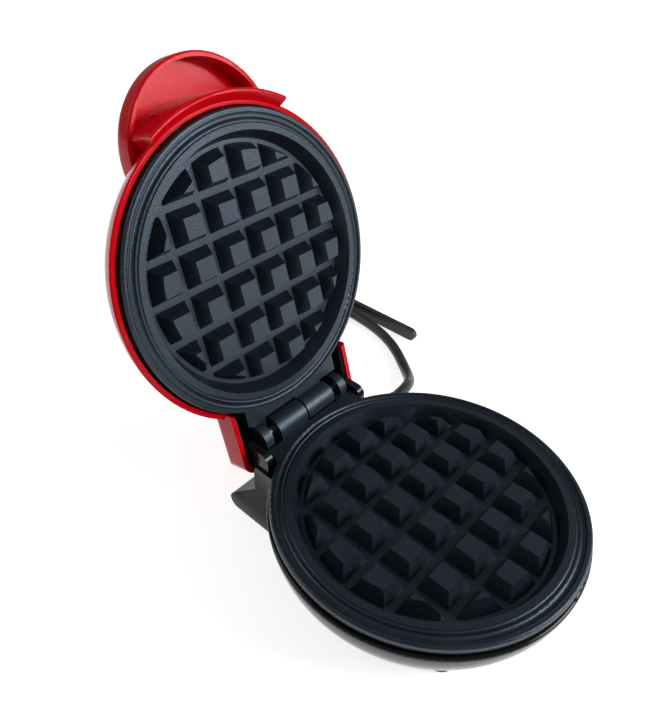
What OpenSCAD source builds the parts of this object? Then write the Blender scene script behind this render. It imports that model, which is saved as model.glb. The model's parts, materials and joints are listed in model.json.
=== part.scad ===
// Round mini waffle maker: hinged red lid, black base, two cast waffle plates.
// Millimetres, +Z up from the table, hinge at the rear (+Y), drawn with the lid open.

/* [Waffle plates] */
// Spacing of the waffle squares
pitch = 16.2; // [15.8:0.1:16.8]
// Side of a raised square at its top
square_top = 8; // [6:0.1:9]
// Side of a raised square at its foot
square_foot = 13.4; // [12:0.1:14.2]
// Height of the raised squares
square_h = 6.2; // [4:0.1:6.3]
// Radius of the raised field at its top
field_top_r = 44.3; // [43:0.1:45]
// Radius of the raised field at its foot
field_foot_r = 47.2; // [46:0.1:47.8]
// Radius of the cooking floor
floor_r = 48.6; // [48.2:0.1:49]
// Radius of the recess at its mouth
mouth_r = 51.4; // [50.8:0.1:52]
// Outer radius of a plate
plate_r = 60; // [59.2:0.1:60.4]
// Height of a plate's rim above its floor
rim_h = 6.4; // [6.4:0.1:7]
// Wall of the casting
cast_t = 3; // [2.4:0.1:3.4]
// Height of the lower cooking floor above the table
floor_z = 28; // [27:0.1:29]
// Gap between the two rims when the lid is shut
shut_gap = 1; // [0.6:0.1:1.6]

/* [Hinge] */
// Distance of the hinge axis behind the centre
hinge_y = 67.5; // [67:0.1:68.5]
// Radius of the hinge barrels
barrel_r = 6.2; // [5.6:0.1:6.4]
// Length of a long barrel
barrel_len = 15.8; // [14:0.1:16]
// Gap between the two long barrels
barrel_gap = 0.8; // [0.6:0.1:1.2]
// Outer end of the short knuckles
knuckle_end = 24.6; // [23.6:0.1:25]
// Width of a short knuckle
knuckle_w = 4.1; // [3:0.1:5]
// Half width of the hinge tabs
tab_half = 26; // [25.8:0.1:26.2]
// Diameter of a hinge pin
pin_d = 4; // [3:0.1:5]
// Opening angle of the lid
open_deg = 107; // [100:1:108]

/* [Base] */
// Width of the base's rim outside the plate
base_margin = 1; // [0.6:0.1:2]
// Radius of the base's bowl curve
bowl_r = 29; // [28:0.1:29.5]
// Wall of the plastic shells
wall = 2.2; // [1.8:0.1:2.6]
// Height of the base rim above the table
base_top = 29.5; // [29:0.1:30]
// Height of the base's underside above the table
belly_z = 2; // [1.8:0.1:2.4]
// Radius of the bottom cover
cover_r = 37; // [36.4:0.1:37.2]
// Half width of the rear block
block_half = 31; // [30.6:0.1:31.2]
// Half width of the heel
heel_half = 35; // [33:0.1:36]
// Reach of the heel behind the centre
heel_y = 74.5; // [73:0.1:76]
// Radius of the heel's round edge
heel_edge_r = 4; // [3:0.1:5]
// Height of the ears beside the hinge
ear_top = 36.4; // [35:0.1:37]
// Front face of the ears
ear_front = 55.6; // [55.4:0.1:57]
// Radius of the circle of rubber feet
foot_ring_r = 44.2; // [44:0.1:45]
// Diameter of a rubber foot
foot_d = 9; // [8:0.1:9.4]

/* [Lid] */
// Width of the lid's rim outside the plate
lid_margin = 3; // [2.8:0.1:4]
// Radius of the dome's shoulder
dome_r = 31; // [30:0.1:31.5]
// Radius of the lid's crown
crown_r = 120; // [110:1:150]
// Height of the lid rim above the parting plane
rim_lift = 3.6; // [3.2:0.1:4.2]
// Reach of the front lip outside the lid
lip_reach = 3.4; // [3:0.1:4]
// Half angle of the front lip
lip_half_deg = 29; // [26:0.5:31]
// Radius of the handle hood
hood_r = 34.2; // [33:0.1:35]
// Distance of the hood's centre ahead of the lid centre
hood_y = 47.3; // [46.6:0.1:48]
// Height of the hood's rim above the parting plane
hood_lift = 13.4; // [12:0.1:15]
// Depth of the finger pocket
pocket_depth = 8; // [6:0.1:9]
// Half width of the rear skirt
skirt_half = 34; // [33.8:0.1:34.4]
// Reach of the rear skirt behind the centre
skirt_y = 80; // [79.5:0.1:81]

/* [Cord] */
// Diameter of the mains cord
cord_d = 5.6; // [5.2:0.1:5.8]
// Turns in the put-away coil
coil_turns = 3.5; // [2.5:1:4.5]
// Radius of the outer turn
coil_r = 34; // [34:0.5:40]

/* [Fits] */
// Running clearance on a hinge pin's radius
pin_play = 0.05; // [0.02:0.01:0.08]
// Clearance between fixed pieces
fit_gap = 0.1; // [0.05:0.01:0.2]
// Clearance between moving castings
move_gap = 0.6; // [0.5:0.1:0.9]

/* [Hidden] */
$fn = 96;
red = [0.78, 0.03, 0.09];
black = [0.06, 0.06, 0.07];
cast = [0.24, 0.26, 0.29];
steel = [0.72, 0.73, 0.75];
big = 400;
overlap = 0.4;

// Parting plane, which the hinge axis lies in
part_z = floor_z + rim_h + shut_gap / 2;
// The valleys between the squares, at floor and at top
valley_foot = pitch - square_foot;
valley_top = pitch - square_top;
// Stations along the hinge
barrel_in = barrel_gap / 2;
barrel_out = barrel_in + barrel_len;
arm_in = barrel_out + barrel_gap;
notch_y = hinge_y - barrel_r - move_gap;

// Plate bosses and what stacks under them, measured down from a cooking floor
boss_ring_r = 42;
boss_r = 4;
boss_drop = cast_t + 7.4;
sheet_t = 0.8;
sheet_drop = boss_drop + fit_gap;
seat_drop = sheet_drop + sheet_t + fit_gap;
screw_d = 3;
screw_head_d = 6;
screw_head_t = 2.2;
boss_angles = [90, 210, 330];
heater_ring_r = 31;
heater_tube_r = 3.2;
heater_drop = cast_t + heater_tube_r + fit_gap;
heater_sweep = 300;
heater_leg = 12;
sheet_r = 48.6;
sheet_hole_r = 12;

// Base
base_r = plate_r + base_margin;
bowl_x = base_r - bowl_r;
bowl_z = belly_z + bowl_r;
post_r = 4.5;
post_top = floor_z - seat_drop;
head_top = 10.3;
cover_t = 2.2;
ledge_z = belly_z + cover_t + fit_gap;
cover_screw_r = 32.6;
cover_screw_d = 2.6;
cover_head_d = 5.2;
cover_head_t = 1.1;
cover_screw_reach = 9;
cover_angles = [30, 150, 270];
vent_count = 12;
heel_z = 0.6;
heel_top = 15;
ear_in = tab_half + move_gap;
ear_out = block_half - 1;
ear_corner_r = 4;
ear_round_r = barrel_r + 2;
block_top = part_z - barrel_r - move_gap;
foot_seat_z = 1.6;
foot_seat_d = 1.8;

// Lid, drawn shut and then swung open
lid_r = plate_r + lid_margin;
lip_r = lid_r + lip_reach;
lid_rim_z = part_z + rim_lift;
dome_sink = 5;
dome_x = lid_r - sqrt(dome_r * dome_r - dome_sink * dome_sink);
dome_z = lid_rim_z - dome_sink;
crown_z = dome_z - sqrt((crown_r - dome_r) * (crown_r - dome_r) - dome_x * dome_x);
dome_top = crown_z + crown_r;
lip_band_z = lid_rim_z + 3.8;
lip_z = part_z + 0.4;
lip_edge_r = 1;
hood_z = part_z + hood_lift;
hood_roof = hood_z + pocket_depth;
hood_top = hood_roof + wall + 1.6;
hood_wall = 2.2;
hood_edge_r = 6;
skirt_rim_z = part_z - 0.4;
skirt_corner_r = 6;
skirt_edge_r = 4.5;
skirt_edge_x = skirt_half - skirt_edge_r;
skirt_arch_r = 130;
spine_r = 120;
spine_y = 45;
spine_top = part_z + 16.1;
arch_z = spine_top - skirt_arch_r;
arch_edge_z = arch_z + sqrt(pow(skirt_arch_r - skirt_edge_r + 0.05, 2) - pow(skirt_edge_x, 2));
liner_t = 1;
liner_z = part_z + 0.8;
upper_floor_z = 2 * part_z - floor_z;
frame_gap = 0.9;
frame_t = 1.7;
frame_low = part_z + shut_gap / 2 + 4;
frame_deck = upper_floor_z + seat_drop;
latch_z = lid_rim_z + 4;
frame_screw_r = 8.5;
frame_screw_d = 2.2;
frame_hole_r = 4.5;
lens_d = 6;
lens_stem_d = 4.6;
lamp_d = 4.4;
lamp_len = 9;

// Stop: where the skirt's rear edge comes to when the lid is fully open
stop_gap = 0.35;
skirt_edge_y = skirt_y - hinge_y;
skirt_edge_z = skirt_rim_z - part_z;
stop_y = hinge_y + skirt_edge_y * cos(open_deg) + skirt_edge_z * sin(open_deg);
block_y = stop_y - stop_gap;

// Strain relief on the right of the rear block
relief_y = 57;
relief_z = 12;
relief_tail = 5;
relief_flange_r = 6;
relief_flange_t = 2;
relief_len = 20;
relief_root_r = 4.6;
relief_tip_r = cord_d / 2 + 0.4;
relief_rings = 4;
relief_end = heel_half + relief_flange_t + relief_len;

// Route of the free cord, from the strain relief to the coil
cord_route = [[relief_end, 57, 12], [63.9, 57.6, 11.6], [70.7, 59.4, 9.9], [77, 62.4, 7.2],
    [82.4, 66.6, 4.9], [87.2, 71.7, 3.5], [92, 77.8, 2.9], [96.6, 84.4, 2.9], [100.6, 91.3, 2.9],
    [103.8, 98.6, 2.9], [106.2, 106.2, 2.9], [107.8, 114, 2.9], [108.8, 122, 2.9], [109.4, 130, 3],
    [109.8, 138, 3.3], [110, 146, 3.8], [110, 152, 4.1], [110, 157, 4.2]];
cord_sides = 10;

// Put-away coil, in two layers, spiralling in and out again
coil_sides = 6;
coil_steps = 24;
coil_gap = 0.5;
turn_step = cord_d + coil_gap;
coil_entry = cord_route[len(cord_route) - 1];
coil_y = coil_entry[1] + cord_d + 0.4;
coil_x = coil_entry[0] - coil_r;
coil_low = coil_entry[2];
coil_high = coil_low + turn_step;
lead_out = 12;
climb = 0.5;

// Tie round the coil
tie_t = 1.3;
tie_w = 7;
tie_y = coil_y + 2;
tie_gap = 0.35;
tie_slack = 1.6;
tie_out_x = coil_entry[0] + cord_d / 2 + tie_slack;
tie_in_x = coil_entry[0] - turn_step * coil_turns / 2 - cord_d / 2 - tie_gap;
tail_t = 2.8;
tie_top = coil_high + cord_d / 2 + tie_gap;
tie_low = 0.05;
tail_end_y = 86;

// Plug
plug_deg = 90 + 360 * (coil_turns - floor(coil_turns));
plug_w = 22;
plug_h = 20;
plug_len = 24;
plug_neck = 12;
plug_edge_r = 4;
blade_w = 6.3;
blade_t = 1.5;
blade_len = 16;
blade_pitch = 12.7;

// Placing helpers
module swung_open() {
    translate([0, hinge_y, part_z])
        rotate([-open_deg, 0, 0])
            translate([0, -hinge_y, -part_z])
                children();
}

module at_lower() {
    translate([0, 0, floor_z])
        children();
}

module at_upper() {
    swung_open()
        translate([0, 0, upper_floor_z])
            rotate([0, 180, 0])
                children();
}

module around(angles, ring_r) {
    for (a = angles)
        rotate([0, 0, a])
            translate([ring_r, 0, 0])
                children();
}

// A solid drawn in the side view (y, z) and given a width along x
module side_slab(x0, x1) {
    translate([x0, 0, 0])
        rotate([90, 0, 90])
            linear_extrude(x1 - x0)
                children();
}

module bar_x(x0, x1, r) {
    translate([x0, 0, 0])
        rotate([0, 90, 0])
            cylinder(h = x1 - x0, r = r);
}

// The corner between a square's two sides, outside a round edge
module edge_waste(r) {
    difference() {
        square(r + overlap);
        circle(r = r);
    }
}

// Waffle plate casting, with its cooking floor at z = 0 and facing up
module plate_profile() {
    groove_a = mouth_r + 3.2;
    groove_b = mouth_r + 5.2;
    difference() {
        polygon([[0, -cast_t], [floor_r - 1.4, -cast_t], [mouth_r + 1.8, rim_h - 3.4],
            [plate_r - 0.8, rim_h - 3.6], [plate_r, rim_h - 2.8], [plate_r, rim_h],
            [mouth_r, rim_h], [floor_r, 0], [0, 0]]);
        translate([groove_a, rim_h + 0.2])
            circle(r = 0.8);
        translate([groove_b, rim_h + 0.2])
            circle(r = 1.3);
        translate([groove_b + 1.7, rim_h - 0.3])
            square([big, 1]);
        translate([plate_r - 1, rim_h - 1.3])
            edge_waste(1);
    }
}

module waffle_field() {
    lines = [-3:3];
    difference() {
        translate([0, 0, -overlap])
            cylinder(h = square_h + overlap, r1 = field_foot_r, r2 = field_top_r);
        for (turn = [0, 90], k = lines)
            rotate([0, 0, turn])
                translate([0, big / 2, 0])
                    rotate([90, 0, 0])
                        linear_extrude(big)
                            polygon([[k * pitch - valley_foot / 2, 0],
                                [k * pitch + valley_foot / 2, 0],
                                [k * pitch + valley_top / 2, square_h],
                                [k * pitch + valley_top / 2, big],
                                [k * pitch - valley_top / 2, big],
                                [k * pitch - valley_top / 2, square_h]]);
    }
}

module tab_plan() {
    difference() {
        translate([-tab_half, 0])
            square([tab_half * 2, hinge_y]);
        // Room for the other plate's long barrel
        translate([-barrel_in, notch_y])
            square([arm_in + barrel_in, big]);
        // Room for the other plate's knuckle and what lies outside it
        translate([-big, notch_y])
            square([big - barrel_out, big]);
        translate([knuckle_end, notch_y])
            square(big);
        circle(r = plate_r - 1.2);
    }
}

module plate_casting(pressed) {
    axis_z = part_z - floor_z;
    difference() {
        union() {
            rotate_extrude()
                plate_profile();
            waffle_field();
            translate([0, 0, rim_h - 3.4])
                linear_extrude(3.1)
                    tab_plan();
            translate([0, hinge_y, axis_z]) {
                bar_x(-barrel_out, -barrel_in, barrel_r);
                bar_x(knuckle_end - knuckle_w, knuckle_end, barrel_r);
            }
            around(boss_angles, boss_ring_r)
                translate([0, 0, -boss_drop])
                    cylinder(h = boss_drop - overlap, r = boss_r);
        }
        // Pin bores: the left one fits the pin that the plate shares with its partner
        translate([0, hinge_y, axis_z]) {
            bar_x(-barrel_out - overlap, -barrel_in + overlap, pin_d / 2 + (pressed ? 0 : pin_play));
            bar_x(arm_in - overlap, knuckle_end + overlap, pin_d / 2 + (pressed ? 0 : pin_play));
        }
        around(boss_angles, boss_ring_r)
            translate([0, 0, -boss_drop - overlap])
                cylinder(h = 7, d = screw_d + 2 * fit_gap);
    }
}

module lower_plate() {
    color(cast)
        at_lower()
            plate_casting(true);
}

module upper_plate() {
    color(cast)
        at_upper()
            plate_casting(false);
}

// Sheathed heating element, hung under a plate
module heating_element() {
    start = 90 + (360 - heater_sweep) / 2;
    translate([0, 0, -heater_drop]) {
        rotate([0, 0, start])
            rotate_extrude(angle = heater_sweep)
                translate([heater_ring_r, 0])
                    circle(r = heater_tube_r, $fn = 32);
        around([start, start + heater_sweep], heater_ring_r) {
            translate([0, 0, -heater_leg])
                cylinder(h = heater_leg + heater_tube_r - 0.4, r = heater_tube_r, $fn = 32);
            translate([0, 0, -heater_leg - 3])
                cylinder(h = heater_leg, r = 1.2, $fn = 32);
        }
    }
}

module lower_heater() {
    color(steel)
        at_lower()
            heating_element();
}

module upper_heater() {
    color(steel)
        at_upper()
            heating_element();
}

// Bright sheet that throws the heat back, clamped under the plate's bosses
module heat_sheet() {
    leg_deg = (360 - heater_sweep) / 2;
    translate([0, 0, -sheet_drop - sheet_t])
        difference() {
            union() {
                cylinder(h = sheet_t, r = sheet_r);
                difference() {
                    cylinder(h = 3, r = sheet_r);
                    translate([0, 0, -overlap])
                        cylinder(h = 4, r = sheet_r - sheet_t);
                }
            }
            translate([0, 0, -1])
                cylinder(h = 3, r = sheet_hole_r);
            around([90 - leg_deg, 90 + leg_deg], heater_ring_r)
                translate([0, 0, -1])
                    cylinder(h = 3, r = heater_tube_r + 1.2);
            around(boss_angles, boss_ring_r)
                translate([0, 0, -1])
                    cylinder(h = 3, d = screw_d + 4 * fit_gap);
        }
}

module lower_reflector() {
    color(steel)
        at_lower()
            heat_sheet();
}

module upper_reflector() {
    color(steel)
        at_upper()
            heat_sheet();
}

// Pan-head screw with a cross slot, standing on its head at z = 0
module pan_screw(d, head_d, head_t, reach) {
    slot_w = head_t * 0.3;
    difference() {
        union() {
            cylinder(h = head_t, d = head_d);
            translate([0, 0, head_t - overlap])
                cylinder(h = reach + overlap, d = d);
        }
        for (turn = [0, 90])
            rotate([0, 0, turn])
                translate([-head_d * 0.3, -slot_w / 2, -overlap])
                    cube([head_d * 0.6, slot_w, head_t * 0.5 + overlap]);
    }
}

module lower_plate_screws() {
    color(steel)
        around(boss_angles, boss_ring_r)
            translate([0, 0, head_top - screw_head_t])
                pan_screw(screw_d, screw_head_d, screw_head_t, post_top - head_top + 6);
}

module upper_plate_screws() {
    deck_t = frame_t;
    color(steel)
        at_upper()
            around(boss_angles, boss_ring_r)
                translate([0, 0, -seat_drop - deck_t - screw_head_t])
                    pan_screw(screw_d, screw_head_d, screw_head_t, deck_t + 6);
}

module thermostat() {
    color(steel)
        at_lower() {
            translate([0, 0, -cast_t - 1 - fit_gap])
                cylinder(h = 1, r = 9);
            translate([0, 0, -cast_t - 7 - fit_gap])
                cylinder(h = 6.2, r = 7.4);
            for (side = [-1, 1])
                translate([side * 4.2 - 1.6, -0.4, -cast_t - 12])
                    cube([3.2, 0.8, 5.4]);
        }
}

module thermal_fuse() {
    color("white")
        translate([17, -8, floor_z - cast_t - 2.1])
            rotate([-90, 0, 0]) {
                cylinder(h = 16, r = 2);
                translate([0, 0, -4])
                    cylinder(h = 24, r = 0.6);
            }
}

module terminal_block() {
    color("ivory")
        translate([-10, 8, belly_z + cover_t + fit_gap])
            difference() {
                cube([20, 12, 10]);
                for (side = [-1, 1]) {
                    translate([10 + side * 5, 6, 3])
                        cylinder(h = 20, r = 2.4);
                    translate([10 + side * 5, -1, 4])
                        rotate([-90, 0, 0])
                            cylinder(h = 20, r = 1.4);
                }
            }
}

// Hinge pins: pressed into the lower plate, turning in the upper one
module hinge_pin(side) {
    x_in = side * (barrel_in + 1.2);
    x_out = side * (knuckle_end - 0.3);
    color(steel)
        translate([0, hinge_y, part_z])
            bar_x(min(x_in, x_out), max(x_in, x_out), pin_d / 2);
}

// Base shell: bowl, rear block with ears, heel, foot seats and screw posts
module bowl_profile(inset) {
    intersection() {
        union() {
            translate([bowl_x, bowl_z])
                circle(r = bowl_r - inset);
            translate([-1, belly_z + inset])
                square([bowl_x + 1, big]);
        }
        square([big, base_top + (inset > 0 ? 1 : 0)]);
    }
}

module heel_side() {
    tip_y = heel_y - heel_edge_r;
    tip_z = heel_z + heel_edge_r;
    slant = heel_edge_r * sqrt(0.5);
    translate([tip_y, tip_z])
        circle(r = heel_edge_r);
    polygon([[46, heel_z], [tip_y, heel_z], [tip_y + slant, tip_z + slant],
        [block_y - 1, heel_top], [46, heel_top]]);
}

// The heel seen from behind: it narrows upwards into the block
module heel_front() {
    top_half = block_half - 1;
    polygon([[-heel_half, -1], [heel_half, -1], [heel_half, heel_top - 8], [top_half, heel_top],
        [-top_half, heel_top], [-heel_half, heel_top - 8]]);
}

module heel() {
    intersection() {
        side_slab(-heel_half, heel_half)
            heel_side();
        translate([0, big / 2, 0])
            rotate([90, 0, 0])
                linear_extrude(big)
                    heel_front();
    }
}

module block_side() {
    translate([44, 3])
        square([block_y - 44, block_top - 3]);
}

module block_hollow() {
    translate([44, belly_z + 4])
        square([block_y - wall - 44, block_top - wall - belly_z - 4]);
}

module ear_side() {
    intersection() {
        difference() {
            union() {
                translate([ear_front, 18])
                    square([block_y - ear_front, ear_top - 18]);
                translate([hinge_y, part_z])
                    circle(r = ear_round_r);
            }
            translate([ear_front + ear_corner_r, ear_top - ear_corner_r])
                mirror([1, 0])
                    edge_waste(ear_corner_r);
        }
        translate([ear_front, 0])
            square([40, ear_top]);
    }
}

module base_shell() {
    color(black)
        difference() {
            union() {
                difference() {
                    union() {
                        rotate_extrude()
                            difference() {
                                bowl_profile(0);
                                translate([base_r - 1.2, base_top - 1.2])
                                    edge_waste(1.2);
                            }
                        side_slab(-block_half, block_half)
                            block_side();
                        heel();
                        for (side = [0, 1])
                            mirror([side, 0, 0])
                                side_slab(ear_in, ear_out)
                                    ear_side();
                        // Flat seat for the strain relief
                        translate([0, relief_y, relief_z])
                            bar_x(block_half - 4, heel_half, relief_flange_r);
                    }
                    rotate_extrude()
                        bowl_profile(wall);
                    side_slab(wall - block_half, block_half - wall)
                        block_hollow();
                    translate([0, 0, -1])
                        cylinder(h = ledge_z + 1, r = cover_r + fit_gap);
                }
                // Ledge that the bottom cover seats on
                translate([0, 0, ledge_z])
                    difference() {
                        cylinder(h = wall, r = cover_r + 2);
                        translate([0, 0, -1])
                            cylinder(h = wall + 2, r = cover_screw_r - 5);
                    }
                around(cover_angles, cover_screw_r)
                    translate([0, 0, ledge_z])
                        cylinder(h = cover_screw_reach + 1, r = 3.6);
                around(boss_angles, boss_ring_r)
                    translate([0, 0, belly_z + 3])
                        cylinder(h = post_top - belly_z - 3, r = post_r);
                around([45:90:315], foot_ring_r)
                    translate([0, 0, foot_seat_z])
                        cylinder(h = 6, d = foot_d + 2.4);
            }
            around(cover_angles, cover_screw_r)
                translate([0, 0, belly_z])
                    cylinder(h = cover_head_t + cover_screw_reach + 0.4, d = cover_screw_d + fit_gap);
            around(boss_angles, boss_ring_r) {
                cylinder(h = head_top, d = screw_head_d + 0.6);
                cylinder(h = big, d = screw_d + 0.4);
            }
            around([45:90:315], foot_ring_r)
                cylinder(h = foot_seat_z + foot_seat_d, d = foot_d + 2 * fit_gap);
            // Socket for the strain relief
            translate([0, relief_y, relief_z])
                bar_x(heel_half - relief_tail - 4, big, relief_root_r - 0.6 + fit_gap);
        }
}

module bottom_cover() {
    color(black)
        translate([0, 0, belly_z])
            difference() {
                cylinder(h = cover_t, r = cover_r);
                around(cover_angles, cover_screw_r) {
                    translate([0, 0, -1])
                        cylinder(h = cover_head_t + 1.1, d = cover_head_d + 0.4);
                    cylinder(h = big, d = cover_screw_d + 0.4);
                }
                around([0:360 / vent_count:359], 20)
                    translate([-5, -1.1, -1])
                        cube([10, 2.2, cover_t + 2]);
            }
}

module bottom_cover_screws() {
    color(steel)
        around(cover_angles, cover_screw_r)
            translate([0, 0, belly_z])
                pan_screw(cover_screw_d, cover_head_d, cover_head_t, cover_screw_reach);
}

module rubber_foot(number) {
    angle = 45 + 90 * (number - 1);
    color([0.1, 0.1, 0.1])
        around([angle], foot_ring_r)
            difference() {
                cylinder(h = foot_seat_z + foot_seat_d - fit_gap, d = foot_d);
                translate([0, 0, -1])
                    cylinder(h = 1.6, d = foot_d * 0.4);
            }
}

module strain_relief() {
    x_face = heel_half;
    x_body = x_face + relief_flange_t;
    ring_step = relief_len / (relief_rings + 1);
    color(black)
        translate([0, relief_y, relief_z])
            rotate([0, 90, 0])
                difference() {
                    union() {
                        translate([0, 0, x_face - relief_tail])
                            cylinder(h = relief_tail + overlap, r = relief_root_r - 0.6);
                        translate([0, 0, x_face + fit_gap])
                            cylinder(h = relief_flange_t, r = relief_flange_r);
                        translate([0, 0, x_body])
                            cylinder(h = relief_len, r1 = relief_root_r, r2 = relief_tip_r);
                    }
                    for (k = [1:relief_rings])
                        translate([0, 0, x_body + k * ring_step])
                            difference() {
                                cylinder(h = 1.6, r = relief_flange_r);
                                translate([0, 0, -1])
                                    cylinder(h = 4, r = cord_d / 2 + 0.1);
                            }
                }
}

// Tube swept along points: rings in planes square to the run, joined by triangles
function unit(v) = v / norm(v);
function run_at(p, i) =
    i == 0 ? unit(p[1] - p[0]) :
    i == len(p) - 1 ? unit(p[i] - p[i - 1]) :
    unit(unit(p[i + 1] - p[i]) + unit(p[i] - p[i - 1]));
function side_at(t) = unit(cross([0, 0, 1], t));
function tube_ring(c, t, r, sides) =
    let (s = side_at(t), u = cross(t, s))
    [for (k = [0:sides - 1])
        let (a = 360 * (k + 0.5) / sides)
        c + r * (cos(a) * s + sin(a) * u)];

module tube_along(p, run0, run1, r, sides) {
    last = len(p) - 1;
    rings = [for (i = [0:last])
        tube_ring(p[i], i == 0 ? run0 : i == last ? run1 : run_at(p, i), r, sides)];
    points = [for (ring = rings, q = ring) q];
    walls = [for (i = [0:last - 1], k = [0:sides - 1])
        let (a = i * sides + k, b = i * sides + (k + 1) % sides)
        each [[a, a + sides, b], [b, a + sides, b + sides]]];
    near = [for (k = [1:sides - 2]) [0, k, k + 1]];
    far = [for (k = [1:sides - 2]) [last * sides, last * sides + k + 1, last * sides + k]];
    polyhedron(points = points, faces = concat(walls, near, far));
}

module power_cord() {
    color(black)
        tube_along(cord_route, [1, 0, 0], [0, 1, 0], cord_d / 2, cord_sides);
}

// Coil: u counts turns from the entry
function climb_share(u) = min(1, max(0, (u - coil_turns / 2) / climb + 0.5));
function coil_point(u) =
    let (r = coil_r - turn_step * min(u, coil_turns - u))
    [coil_x + r * cos(360 * u), coil_y + r * sin(360 * u),
        coil_low + (coil_high - coil_low) * climb_share(u)];
coil_ring = [for (i = [0:ceil(coil_turns * coil_steps)])
    coil_point(min(coil_turns, i / coil_steps))];
coil_run = [cos(plug_deg), sin(plug_deg), 0];
coil_exit = coil_ring[len(coil_ring) - 1] + lead_out * coil_run;
coil_path = concat([coil_entry], coil_ring, [coil_exit]);
coil_gaps = [for (i = [0:len(coil_ring) - 1], j = [i + 1:len(coil_ring) - 1])
    if (j - i > coil_steps / 2) norm(coil_ring[i] - coil_ring[j]) - cord_d];
echo(least_coil_gap = min(coil_gaps));

module cord_coil() {
    color(black)
        tube_along(coil_path, [0, 1, 0], coil_run, cord_d / 2, coil_sides);
}

module cord_tie() {
    ring_w = tie_out_x - tie_in_x;
    color(black) {
        translate([tie_in_x, tie_y + tie_w, tie_low])
            rotate([90, 0, 0])
                linear_extrude(tie_w)
                    difference() {
                        translate([-tie_t, 0])
                            square([ring_w + 2 * tie_t, tie_top + tie_t - tie_low]);
                        translate([0, tie_t])
                            square([ring_w, tie_top - tie_t - tie_low]);
                    }
        side_slab(tie_out_x, tie_out_x + tail_t) {
            translate([tail_end_y + tie_w / 2, tie_low])
                square([tie_y - tail_end_y, tie_w]);
            translate([tail_end_y + tie_w / 2, tie_low + tie_w / 2])
                circle(r = tie_w / 2);
        }
    }
}

module plug_frame() {
    translate(coil_exit)
        rotate([0, 0, plug_deg])
            children();
}

module plug_body() {
    color(black)
        plug_frame() {
            rotate([0, 90, 0])
                cylinder(h = plug_neck + overlap, r1 = cord_d / 2 + 0.6, r2 = plug_h * 0.32);
            translate([plug_neck, -plug_w / 2, -plug_h / 2])
                difference() {
                    cube([plug_len, plug_w, plug_h]);
                    for (dy = [0, 1], dz = [0, 1])
                        translate([-1, dy * plug_w, dz * plug_h])
                            rotate([90, 0, 90])
                                linear_extrude(plug_len + 2)
                                    mirror([1 - dy, 0])
                                        mirror([0, 1 - dz])
                                            translate([-plug_edge_r, -plug_edge_r])
                                                edge_waste(plug_edge_r);
                }
        }
}

module plug_blades() {
    color(steel)
        plug_frame()
            for (side = [-1, 1])
                translate([plug_neck + plug_len + fit_gap, side * blade_pitch / 2 - blade_t / 2, -blade_w / 2])
                    difference() {
                        cube([blade_len, blade_t, blade_w]);
                        translate([blade_len - 4, -1, blade_w / 2])
                            rotate([-90, 0, 0])
                                cylinder(h = 4, r = 1.6);
                    }
}

// Lid shell, drawn shut: a round shoulder that runs smoothly into a flatter crown
module dome_half(inset) {
    k = 1.3 * crown_r / (crown_r - dome_r);
    translate([dome_x, dome_z])
        circle(r = dome_r - inset);
    intersection() {
        translate([0, crown_z])
            circle(r = crown_r - inset, $fn = 360);
        polygon([[0, crown_z], [dome_x * k, crown_z + (dome_z - crown_z) * k],
            [0, crown_z + crown_r * 1.3]]);
    }
    square([dome_x, dome_z]);
}

module dome_profile(inset) {
    difference() {
        intersection() {
            dome_half(inset);
            translate([0, lid_rim_z - (inset > 0 ? 5 : 0)])
                square(big);
        }
        if (inset == 0)
            translate([lid_r - 1, lid_rim_z + 1])
                mirror([0, 1])
                    edge_waste(1);
    }
}

// What the round edge takes off the skirt's corner, seen from behind
module arch_waste(r) {
    reach = skirt_edge_r + overlap;
    lean = skirt_edge_x / (arch_edge_z - arch_z);
    difference() {
        polygon([[0, 0], [reach, 0], [reach, reach], [reach * lean, reach]]);
        circle(r = r);
    }
}

module skirt_form(inset) {
    half = skirt_half - inset;
    reach = skirt_y - inset;
    low = skirt_rim_z - (inset > 0 ? 5 : 0);
    corner = skirt_corner_r - inset;
    difference() {
        intersection() {
            translate([0, 0, low])
                linear_extrude(60)
                    difference() {
                        translate([-half, 22])
                            square([half * 2, reach - 22]);
                        for (side = [0, 1])
                            mirror([side, 0])
                                translate([half - corner, reach - corner])
                                    edge_waste(corner);
                    }
            // Back falling in one long curve
            side_slab(-60, 60)
                translate([spine_y, spine_top - spine_r])
                    circle(r = spine_r - inset, $fn = 360);
            // Shallow arch across
            translate([0, 100, arch_z])
                rotate([90, 0, 0])
                    cylinder(h = 100, r = skirt_arch_r - inset, $fn = 360);
        }
        for (side = [0, 1])
            mirror([side, 0, 0])
                translate([skirt_edge_x, 100, arch_edge_z])
                    rotate([90, 0, 0])
                        linear_extrude(100)
                            arch_waste(skirt_edge_r - inset);
    }
}

module hood_profile() {
    difference() {
        translate([0, hood_z])
            square([hood_r, hood_top - hood_z]);
        translate([hood_r - hood_edge_r, hood_top - hood_edge_r])
            edge_waste(hood_edge_r);
        translate([hood_r - 1, hood_z + 1])
            mirror([0, 1])
                edge_waste(1);
    }
}

// Front lip up to a height, thin at its edge
module lip_sector(top) {
    foot_in = lip_r - lip_edge_r - 0.4;
    root_z = lip_z + 4.6;
    rotate([0, 0, -90 - lip_half_deg])
        rotate_extrude(angle = 2 * lip_half_deg)
            difference() {
                polygon([[foot_in, lip_z], [lip_r, lip_z], [lip_r, top], [lid_r - 4, top],
                    [lid_r - 4, root_z], [lid_r - wall, root_z]]);
                translate([lip_r - lip_edge_r, lip_z + lip_edge_r])
                    mirror([0, 1])
                        edge_waste(lip_edge_r);
            }
}

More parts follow.
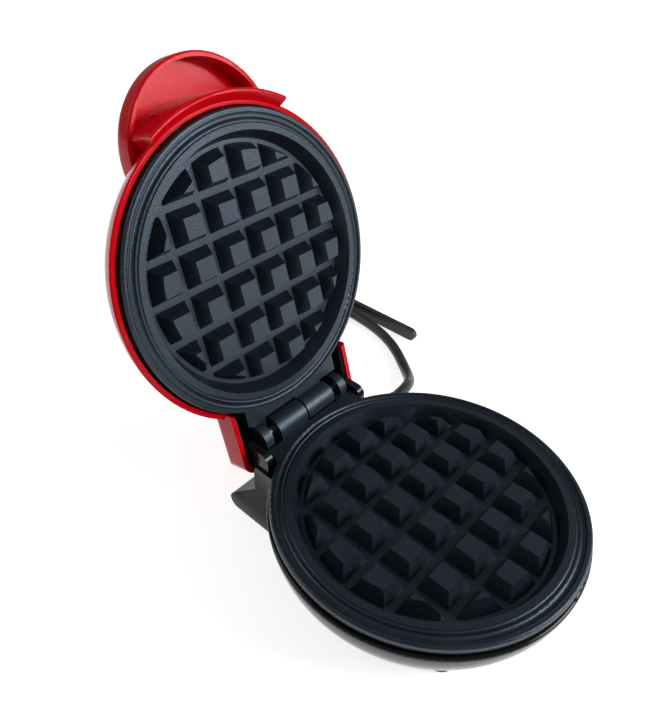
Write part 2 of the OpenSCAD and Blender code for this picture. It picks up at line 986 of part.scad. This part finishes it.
module lid_shell() {
    color(red)
        swung_open()
            difference() {
                union() {
                    difference() {
                        union() {
                            rotate_extrude()
                                dome_profile(0);
                            translate([0, -hood_y, 0])
                                rotate_extrude()
                                    hood_profile();
                            lip_sector(lip_band_z);
                            intersection() {
                                lip_sector(hood_roof + overlap);
                                translate([0, -hood_y, 0])
                                    cylinder(h = big, r = hood_r - hood_wall / 2);
                            }
                            skirt_form(0);
                        }
                        rotate_extrude()
                            dome_profile(wall);
                        skirt_form(wall);
                        // Finger pocket under the hood, outside the lip
                        difference() {
                            translate([0, -hood_y, hood_z - 1])
                                cylinder(h = pocket_depth + 1, r = hood_r - hood_wall);
                            cylinder(h = big, r = lip_r);
                        }
                        // Round mould mark on the lip
                        rotate([0, 0, -108.7])
                            translate([lip_r - 1.4, 0, upper_floor_z + 5.4])
                                rotate([0, 90, 0])
                                    cylinder(h = 4, d = 2.8);
                    }
                    // Bosses for the frame's screws
                    around(cover_angles, frame_screw_r)
                        translate([0, 0, frame_deck + frame_t + fit_gap])
                            cylinder(h = dome_top - wall - frame_deck - frame_t, r = 2.6);
                    // Holder for the indicator lamp
                    translate([0, 0, dome_top - wall - lamp_len])
                        cylinder(h = lamp_len + 0.8, d = lamp_d + 3.2);
                }
                around(cover_angles, frame_screw_r)
                    translate([0, 0, frame_deck])
                        cylinder(h = 8, d = frame_screw_d + fit_gap);
                translate([0, 0, frame_deck])
                    cylinder(h = dome_top - wall - frame_deck, d = lamp_d + 2 * fit_gap);
                cylinder(h = big, d = lens_stem_d + 2 * fit_gap);
            }
}

// Black frame that carries the upper plate inside the lid
module frame_profile() {
    intersection() {
        union() {
            difference() {
                dome_half(wall + frame_gap);
                dome_half(wall + frame_gap + frame_t);
            }
            intersection() {
                translate([frame_hole_r, frame_deck])
                    square([big, frame_t]);
                dome_half(wall + frame_gap);
            }
        }
        translate([frame_hole_r, frame_low])
            square([big, frame_deck + frame_t - frame_low]);
    }
}

module lid_frame() {
    leg_deg = (360 - heater_sweep) / 2;
    color(black)
        swung_open()
            difference() {
                union() {
                    rotate_extrude()
                        frame_profile();
                    // Liner of the rear skirt, round the hinge
                    intersection() {
                        difference() {
                            skirt_form(wall + fit_gap);
                            skirt_form(wall + fit_gap + liner_t);
                        }
                        translate([-big / 2, 54, liner_z])
                            cube(big);
                    }
                    // Snap latches at the front and sides
                    intersection() {
                        rotate_extrude()
                            intersection() {
                                dome_half(wall + fit_gap);
                                square(big);
                            }
                        for (a = [200, 250, 290, 340])
                            rotate([0, 0, a])
                                translate([mouth_r, -5, latch_z - 2])
                                    cube([20, 10, 2]);
                    }
                }
                translate([0, 0, lid_rim_z])
                    cylinder(h = 12, r = mouth_r + 2.2);
                around(boss_angles, boss_ring_r)
                    translate([0, 0, frame_deck - 1])
                        cylinder(h = 4, d = screw_d + 0.4);
                around([90 - leg_deg, 90 + leg_deg], heater_ring_r)
                    translate([0, 0, frame_deck - 1])
                        cylinder(h = 4, r = heater_tube_r + 1.2);
                around(cover_angles, frame_screw_r)
                    translate([0, 0, frame_deck - 1])
                        cylinder(h = 4, d = frame_screw_d + 0.4);
            }
}

module lid_frame_screws() {
    color(steel)
        swung_open()
            around(cover_angles, frame_screw_r)
                translate([0, 0, frame_deck - 1.6])
                    pan_screw(frame_screw_d, 4.4, 1.6, frame_t + 5);
}

module indicator_lens() {
    color([0.75, 0.85, 1])
        swung_open()
            translate([0, 0, dome_top]) {
                translate([0, 0, -wall + 0.4])
                    cylinder(h = wall, d = lens_stem_d);
                intersection() {
                    translate([0, 0, -4.2])
                        sphere(r = 5.2);
                    translate([0, 0, fit_gap])
                        cylinder(h = 2, d = lens_d);
                }
            }
}

module indicator_lamp() {
    color([1, 0.6, 0.3])
        swung_open()
            translate([0, 0, dome_top - wall - lamp_len + 1]) {
                cylinder(h = lamp_len - 2.4, d = lamp_d);
                for (side = [-1, 1])
                    translate([side, 0, -4])
                        cylinder(h = 5, r = 0.3);
            }
}

base_shell();
bottom_cover();
bottom_cover_screws();
rubber_foot(1);  // rubber_foot_1
rubber_foot(2);  // rubber_foot_2
rubber_foot(3);  // rubber_foot_3
rubber_foot(4);  // rubber_foot_4
lower_plate();
lower_plate_screws();
lower_heater();
lower_reflector();
thermostat();
thermal_fuse();
terminal_block();
hinge_pin(-1);  // hinge_pin_left
hinge_pin(1);  // hinge_pin_right
strain_relief();
power_cord();
cord_coil();
cord_tie();
plug_body();
plug_blades();
lid_shell();
lid_frame();
upper_plate();
upper_plate_screws();
upper_heater();
upper_reflector();
lid_frame_screws();
indicator_lens();
indicator_lamp();
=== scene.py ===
import json
import math

import bpy
from mathutils import Matrix, Vector


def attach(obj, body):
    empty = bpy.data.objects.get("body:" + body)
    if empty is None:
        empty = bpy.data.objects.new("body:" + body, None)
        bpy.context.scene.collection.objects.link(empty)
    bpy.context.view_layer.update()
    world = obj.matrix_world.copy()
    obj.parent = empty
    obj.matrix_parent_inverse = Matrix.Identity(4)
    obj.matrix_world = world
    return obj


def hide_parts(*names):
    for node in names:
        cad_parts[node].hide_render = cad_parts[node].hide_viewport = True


# Every length below is in metres
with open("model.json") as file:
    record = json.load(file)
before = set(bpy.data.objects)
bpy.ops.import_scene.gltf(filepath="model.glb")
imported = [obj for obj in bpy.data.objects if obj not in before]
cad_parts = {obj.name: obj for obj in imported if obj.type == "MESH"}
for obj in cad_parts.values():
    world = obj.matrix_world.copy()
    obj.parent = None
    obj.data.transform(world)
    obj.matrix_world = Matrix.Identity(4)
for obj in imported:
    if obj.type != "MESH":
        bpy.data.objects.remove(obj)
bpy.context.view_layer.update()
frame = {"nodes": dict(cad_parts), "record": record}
nodes = frame["nodes"]
scene = bpy.context.scene


def show(name, data):
    """A new object with this data, in the scene."""
    made = bpy.data.objects.new(name, data)
    scene.collection.objects.link(made)
    return made


# Camera, solved from the corners of the squares on both plates
LENS_MM = 34.393
SENSOR_MM = 36.0
SHIFT = (-0.0004, -0.0528)
CAMERA_AT = (-0.157267, -0.084565, 0.235818)
CAMERA_RIGHT = (0.66991, -0.742194, 0.01921)
CAMERA_UP = (0.414857, 0.395661, 0.819357)
CAMERA_BACK = (-0.615723, -0.540926, 0.572962)
CLIP_START = 0.01


def place_camera():
    lens = bpy.data.cameras.new("view_camera")
    lens.sensor_fit = "AUTO"
    lens.sensor_width = SENSOR_MM
    lens.lens = LENS_MM
    lens.shift_x, lens.shift_y = SHIFT
    lens.clip_start = CLIP_START
    camera = show("view_camera", lens)
    rows = zip(CAMERA_RIGHT, CAMERA_UP, CAMERA_BACK, CAMERA_AT)
    camera.matrix_world = Matrix([*rows, (0, 0, 0, 1)])
    scene.camera = camera


place_camera()


# Shader helpers
def graph(name):
    """A new material with its node tree, its main shader and its output."""
    material = bpy.data.materials.new(name)
    material.use_nodes = True
    tree = material.node_tree
    return material, tree, tree.nodes["Principled BSDF"], tree.nodes["Material Output"]


def add(tree, kind, **values):
    """A new shader node. Each value sets the input of its name, or else the property."""
    made = tree.nodes.new(kind)
    for key, value in values.items():
        if key in made.inputs:
            made.inputs[key].default_value = value
        else:
            setattr(made, key, value)
    return made


def coords(tree):
    """The object's own coordinates, so no texture slides when a joint moves."""
    return add(tree, "ShaderNodeTexCoord").outputs["Object"]


def noise(tree, where, scale, detail=2.0, rough=0.5):
    """Cloudy noise with scale bumps to the metre."""
    cloud = add(tree, "ShaderNodeTexNoise", Scale=scale, Detail=detail, Roughness=rough)
    tree.links.new(where, cloud.inputs["Vector"])
    return cloud.outputs["Fac"]


def ramp(tree, source, low, high, target):
    """Drive target from source. low and high are each (place, grey level or colour)."""
    band = add(tree, "ShaderNodeValToRGB")
    for stop, (place, value) in zip(band.color_ramp.elements, (low, high)):
        stop.position = place
        stop.color = (value, value, value, 1) if isinstance(value, float) else (*value, 1)
    tree.links.new(source, band.inputs["Fac"])
    tree.links.new(band.outputs["Color"], target)


def bump(tree, source, depth, before=None):
    dent = add(tree, "ShaderNodeBump", Distance=depth)
    tree.links.new(source, dent.inputs["Height"])
    if before is not None:
        tree.links.new(before, dent.inputs["Normal"])
    return dent.outputs["Normal"]


def tone(colour, gain):
    return tuple(min(1.0, part * gain) for part in colour)


# Kinds of material
def moulded(name, colour, rough, spread, drift, grain, grain_depth, shine=0.5, tint=(1, 1, 1)):
    """Moulded plastic or rubber: slow drift of tone, smears in the gloss, fine moulded grain."""
    material, tree, shader, _ = graph(name)
    where = coords(tree)
    patches = noise(tree, where, scale=38.0, detail=3.0)
    darker, lighter = tone(colour, 1 - drift), tone(colour, 1 + drift)
    ramp(tree, patches, (0.3, darker), (0.7, lighter), shader.inputs["Base Color"])
    smears = noise(tree, where, scale=120.0, detail=4.0, rough=0.6)
    glossiest = max(0.02, rough - spread)
    ramp(tree, smears, (0.35, glossiest), (0.7, rough + spread), shader.inputs["Roughness"])
    pits = noise(tree, where, scale=grain)
    tree.links.new(bump(tree, pits, grain_depth), shader.inputs["Normal"])
    shader.inputs["Specular IOR Level"].default_value = shine
    shader.inputs["Specular Tint"].default_value = (*tint, 1)
    return material


def coated_metal(name, colour, rough, fleck_gain=3.0, peel_depth=0.00011, wave_depth=0.00005):
    """Non-stick coating on cast metal: sparse flecks, orange peel from the spray, dull smears."""
    material, tree, shader, _ = graph(name)
    where = coords(tree)
    flecks = noise(tree, where, scale=2300.0, detail=1.0, rough=0.4)
    ramp(tree, flecks, (0.6, colour), (0.72, tone(colour, fleck_gain)), shader.inputs["Base Color"])
    smears = noise(tree, where, scale=55.0, detail=4.0, rough=0.6)
    ramp(tree, smears, (0.3, rough - 0.05), (0.7, rough + 0.07), shader.inputs["Roughness"])
    peel = bump(tree, noise(tree, where, scale=1500.0), peel_depth)
    waves = bump(tree, noise(tree, where, scale=240.0), wave_depth, peel)
    tree.links.new(waves, shader.inputs["Normal"])
    shader.inputs["Specular IOR Level"].default_value = 0.62
    shader.inputs["Specular Tint"].default_value = (0.7, 0.85, 1, 1)
    return material


def bright_metal(name, colour, rough, stretch=(1.0, 1.0, 14.0), grain_depth=0.000012):
    """Turned or rolled bare metal: fine lines along one axis over a slow change of tone."""
    material, tree, shader, _ = graph(name)
    where = coords(tree)
    squeeze = add(tree, "ShaderNodeMapping", Scale=stretch)
    tree.links.new(where, squeeze.inputs["Vector"])
    lines = noise(tree, squeeze.outputs["Vector"], scale=500.0, detail=3.0, rough=0.6)
    patches = noise(tree, where, scale=60.0, detail=3.0)
    darker, lighter = tone(colour, 0.86), tone(colour, 1.05)
    ramp(tree, patches, (0.3, darker), (0.7, lighter), shader.inputs["Base Color"])
    ramp(tree, lines, (0.3, rough - 0.08), (0.7, rough + 0.1), shader.inputs["Roughness"])
    tree.links.new(bump(tree, lines, grain_depth), shader.inputs["Normal"])
    shader.inputs["Metallic"].default_value = 1.0
    return material


def clear_plastic(name, colour):
    """Clear moulded plastic or thin glass with a slight haze."""
    material, tree, shader, _ = graph(name)
    where = coords(tree)
    patches = noise(tree, where, scale=90.0)
    ramp(tree, patches, (0.3, tone(colour, 0.92)), (0.7, colour), shader.inputs["Base Color"])
    haze = noise(tree, where, scale=300.0)
    ramp(tree, haze, (0.3, 0.03), (0.7, 0.09), shader.inputs["Roughness"])
    shader.inputs["Transmission Weight"].default_value = 0.85
    shader.inputs["IOR"].default_value = 1.49
    return material


# One material for each slot of the record, and one for the bevels of the coated plates, whose lighter
# colour is a painted highlight along their edges
LOOKS = {
    "gloss_red": (moulded, dict(
        colour=(0.62, 0.0015, 0.008), rough=0.14, spread=0.04, drift=0.03,
        grain=700.0, grain_depth=0.000006, shine=0.2, tint=(1, 0.45, 0.45))),
    "gloss_black": (moulded, dict(
        colour=(0.006, 0.006, 0.007), rough=0.14, spread=0.05, drift=0.1,
        grain=800.0, grain_depth=0.000008, shine=0.28)),
    "matte_black": (moulded, dict(
        colour=(0.01, 0.01, 0.011), rough=0.45, spread=0.08, drift=0.15,
        grain=1500.0, grain_depth=0.00005)),
    "foot_rubber": (moulded, dict(
        colour=(0.02, 0.02, 0.02), rough=0.62, spread=0.08, drift=0.15,
        grain=1800.0, grain_depth=0.00008)),
    "cord_black": (moulded, dict(
        colour=(0.016, 0.016, 0.018), rough=0.38, spread=0.07, drift=0.12,
        grain=1400.0, grain_depth=0.00003)),
    "white_ceramic": (moulded, dict(
        colour=(0.72, 0.69, 0.62), rough=0.4, spread=0.06, drift=0.05,
        grain=900.0, grain_depth=0.00003)),
    "coated_casting": (coated_metal, dict(colour=(0.006, 0.0085, 0.0135), rough=0.38)),
    # Painted highlight: a colour about ten times lighter than the coating, for bright lines along the
    # plates' edges
    "rubbed_edge": (coated_metal, dict(colour=(0.075, 0.095, 0.12), rough=0.3)),
    "plated_steel": (bright_metal, dict(colour=(0.62, 0.62, 0.64), rough=0.26)),
    "heater_steel": (bright_metal, dict(colour=(0.34, 0.31, 0.28), rough=0.42)),
    "bright_sheet": (bright_metal, dict(
        colour=(0.8, 0.8, 0.82), rough=0.22, stretch=(1.0, 18.0, 1.0))),
    "brass_blades": (bright_metal, dict(colour=(0.76, 0.58, 0.27), rough=0.2)),
    "clear_lens": (clear_plastic, dict(colour=(0.8, 0.88, 0.96))),
    "lamp_glass": (clear_plastic, dict(colour=(0.95, 0.5, 0.22))),
}
looks = {slot: make(slot, **values) for slot, (make, values) in LOOKS.items()}


# Cord, with the route and the coil of the part's source: points listed one by one, then a spiral of two
# layers, then a short lead to the plug
CORD_R = 0.0028
ROUTE = [
    (0.057, 0.057, 0.012), (0.0639, 0.0576, 0.0116), (0.0707, 0.0594, 0.0099), (0.077, 0.0624, 0.0072),
    (0.0824, 0.0666, 0.0049), (0.0872, 0.0717, 0.0035), (0.092, 0.0778, 0.0029), (0.0966, 0.0844, 0.0029),
    (0.1006, 0.0913, 0.0029), (0.1038, 0.0986, 0.0029), (0.1062, 0.1062, 0.0029), (0.1078, 0.114, 0.0029),
    (0.1088, 0.122, 0.0029), (0.1094, 0.13, 0.003), (0.1098, 0.138, 0.0033), (0.11, 0.146, 0.0038),
    (0.11, 0.152, 0.0041), (0.11, 0.157, 0.0042)]
ROUTE_SAMPLES = 4
TURNS = 3.5
TURN_SAMPLES = 36
COIL_R = 0.034
COIL_STEP = 0.0061
COIL_AT = (0.076, 0.163)
COIL_LOW = 0.0042
CLIMB_TURNS = 0.5
LEAD_OUT = 0.012
CORD_SIDES = 20
LEAVES_BASE = (1, 0, 0)
ENTERS_PLUG = (0, -1, 0)


def smooth_path(points):
    """Even Catmull-Rom samples through the points."""
    p = [Vector(q) for q in points]
    p = [p[0] * 2 - p[1]] + p + [p[-1] * 2 - p[-2]]
    made = []
    for a, b, c, d in zip(p, p[1:], p[2:], p[3:]):
        for k in range(ROUTE_SAMPLES):
            u = k / ROUTE_SAMPLES
            bend = (2 * a - 5 * b + 4 * c - d) * u * u + (3 * b - a - 3 * c + d) * u ** 3
            made.append(0.5 * (2 * b + (c - a) * u + bend))
    made.append(p[-2])
    return made


def coil_point(turn):
    """The centre line after so many turns: in on the lower layer, a climb, out on the upper one."""
    r = COIL_R - COIL_STEP * min(turn, TURNS - turn)
    climbed = min(1.0, max(0.0, (turn - TURNS / 2) / CLIMB_TURNS + 0.5))
    angle = 2 * math.pi * turn
    x, y = COIL_AT
    return Vector((x + r * math.cos(angle), y + r * math.sin(angle), COIL_LOW + COIL_STEP * climbed))


def tube(name, path, radius, sides, first, last):
    """A round tube along path. Its flat ends are square to the directions first and last."""
    along = [(b - a).normalized() for a, b in zip(path, path[2:])]
    verts, faces = [], []
    for centre, run in zip(path, [Vector(first), *along, Vector(last)]):
        side = Vector((0, 0, 1)).cross(run).normalized()
        over = run.cross(side)
        for k in range(sides):
            angle = 2 * math.pi * (k + 0.5) / sides
            verts.append(centre + radius * (math.cos(angle) * side + math.sin(angle) * over))
    for row in range(0, (len(path) - 1) * sides, sides):
        for k in range(sides):
            a, b = row + k, row + (k + 1) % sides
            faces.append((b, b + sides, a + sides, a))
    faces.append(tuple(range(sides)))
    faces.append(tuple(reversed(range(len(verts) - sides, len(verts)))))
    mesh = bpy.data.meshes.new(name)
    mesh.from_pydata([tuple(v) for v in verts], [], faces)
    mesh.validate()
    mesh.update()
    for face in mesh.polygons[:-2]:
        face.use_smooth = True
    return show(name, mesh)


def mains_cord():
    turns = [coil_point(k / TURN_SAMPLES) for k in range(int(TURNS * TURN_SAMPLES) + 1)]
    cord_line = smooth_path(ROUTE) + turns + [turns[-1] + LEAD_OUT * Vector(ENTERS_PLUG)]
    cord = tube("mains_cord", cord_line, CORD_R, CORD_SIDES, LEAVES_BASE, ENTERS_PLUG)
    cord.data.materials.append(looks["cord_black"])
    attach(cord, "base")
    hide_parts("power_cord", "cord_coil")


mains_cord()


# CAD nodes: the look of each slot, and a small bevel on every sharp edge
EDGE_WIDTHS = {
    "lid_shell": 0.0004, "base_shell": 0.0004, "plug_body": 0.0004,
    "lower_plate": 0.00028, "upper_plate": 0.00028,
    **{f"rubber_foot_{n}": 0.0005 for n in (1, 2, 3, 4)}}
EDGE_WIDTH = 0.00018
EDGE_SEGMENTS = 2
SHARP = math.radians(45)
WELD_REACH = 0.000002
CORD_NODES = ("power_cord", "cord_coil")


def dress(name, slot):
    node = nodes[name]
    mesh = node.data
    mesh.materials.clear()
    mesh.materials.append(looks[slot])
    if "custom_normal" in mesh.attributes:
        mesh.attributes.remove(mesh.attributes["custom_normal"])
    for face in mesh.polygons:
        face.use_smooth = True
    weld = node.modifiers.new("weld", "WELD")
    weld.merge_threshold = WELD_REACH
    soft = node.modifiers.new("soft_edges", "BEVEL")
    soft.width = EDGE_WIDTHS.get(name, EDGE_WIDTH)
    soft.segments = EDGE_SEGMENTS
    soft.limit_method = "ANGLE"
    soft.angle_limit = SHARP
    soft.harden_normals = True
    soft.use_clamp_overlap = True
    # The bevels of the coated plates take the lighter material: painted highlights along every sharp edge
    if slot == "coated_casting":
        mesh.materials.append(looks["rubbed_edge"])
        soft.material = len(mesh.materials) - 1


for part in frame["record"]["subparts"]:
    if part["node"] not in CORD_NODES:
        dress(part["node"], part["material_slot"])


# Floor: it takes the object's shadow, and is white to the camera and in reflections
FLOOR_HALF = 4.0
FLOOR_TOP = -0.0002
FLOOR_COLOUR = (0.84, 0.84, 0.83)
FLOOR_ROUGH = 0.7
FLOOR_GLOW = 0.72


def pale_floor():
    material, tree, shader, output = graph("pale_floor")
    shader.inputs["Base Color"].default_value = (*FLOOR_COLOUR, 1)
    shader.inputs["Roughness"].default_value = FLOOR_ROUGH
    rays = add(tree, "ShaderNodeLightPath")
    seen = rays.outputs["Is Camera Ray"]
    for kind in ("Is Glossy Ray", "Is Transmission Ray"):
        either = add(tree, "ShaderNodeMath", operation="MAXIMUM")
        tree.links.new(seen, either.inputs[0])
        tree.links.new(rays.outputs[kind], either.inputs[1])
        seen = either.outputs[0]
    level = add(tree, "ShaderNodeMath", operation="MULTIPLY")
    level.inputs[1].default_value = FLOOR_GLOW
    tree.links.new(seen, level.inputs[0])
    glow = add(tree, "ShaderNodeEmission")
    tree.links.new(level.outputs[0], glow.inputs["Strength"])
    both = add(tree, "ShaderNodeAddShader")
    tree.links.new(shader.outputs[0], both.inputs[0])
    tree.links.new(glow.outputs[0], both.inputs[1])
    tree.links.new(both.outputs[0], output.inputs["Surface"])
    return material


def lay_floor():
    corners = [(-FLOOR_HALF, -FLOOR_HALF), (FLOOR_HALF, -FLOOR_HALF),
               (FLOOR_HALF, FLOOR_HALF), (-FLOOR_HALF, FLOOR_HALF)]
    mesh = bpy.data.meshes.new("floor")
    mesh.from_pydata([(x, y, FLOOR_TOP) for x, y in corners], [], [(0, 1, 2, 3)])
    mesh.materials.append(pale_floor())
    floor = show("floor", mesh)


lay_floor()


# Light: a window in front on the right, a weak fill from behind on the left, and an even room
ROOM_COLOUR = (0.94, 0.97, 1)
ROOM_STRENGTH = 0.26
LIGHT_AIM = (0, 0.03, 0.06)


def light_room():
    world = bpy.data.worlds.new("studio")
    world.use_nodes = True
    room = world.node_tree.nodes["Background"]
    room.inputs["Color"].default_value = (*ROOM_COLOUR, 1)
    room.inputs["Strength"].default_value = ROOM_STRENGTH
    scene.world = world


def soft_box(name, at, size, watts, colour=(1, 1, 1)):
    lamp = bpy.data.lights.new(name, "AREA")
    lamp.shape = "RECTANGLE"
    lamp.size, lamp.size_y = size
    lamp.energy = watts
    lamp.color = colour
    box = show(name, lamp)
    box.location = at
    box.rotation_mode = "QUATERNION"
    box.rotation_quaternion = (Vector(LIGHT_AIM) - Vector(at)).to_track_quat("-Z", "Y")


light_room()
soft_box("window", at=(0.5, -0.76, 0.58), size=(0.6, 0.45), watts=11.0, colour=(0.9, 0.96, 1))
soft_box("back_fill", at=(-0.55, 0.8, 0.7), size=(0.6, 0.6), watts=2.5)
scene.view_settings.view_transform = "Standard"
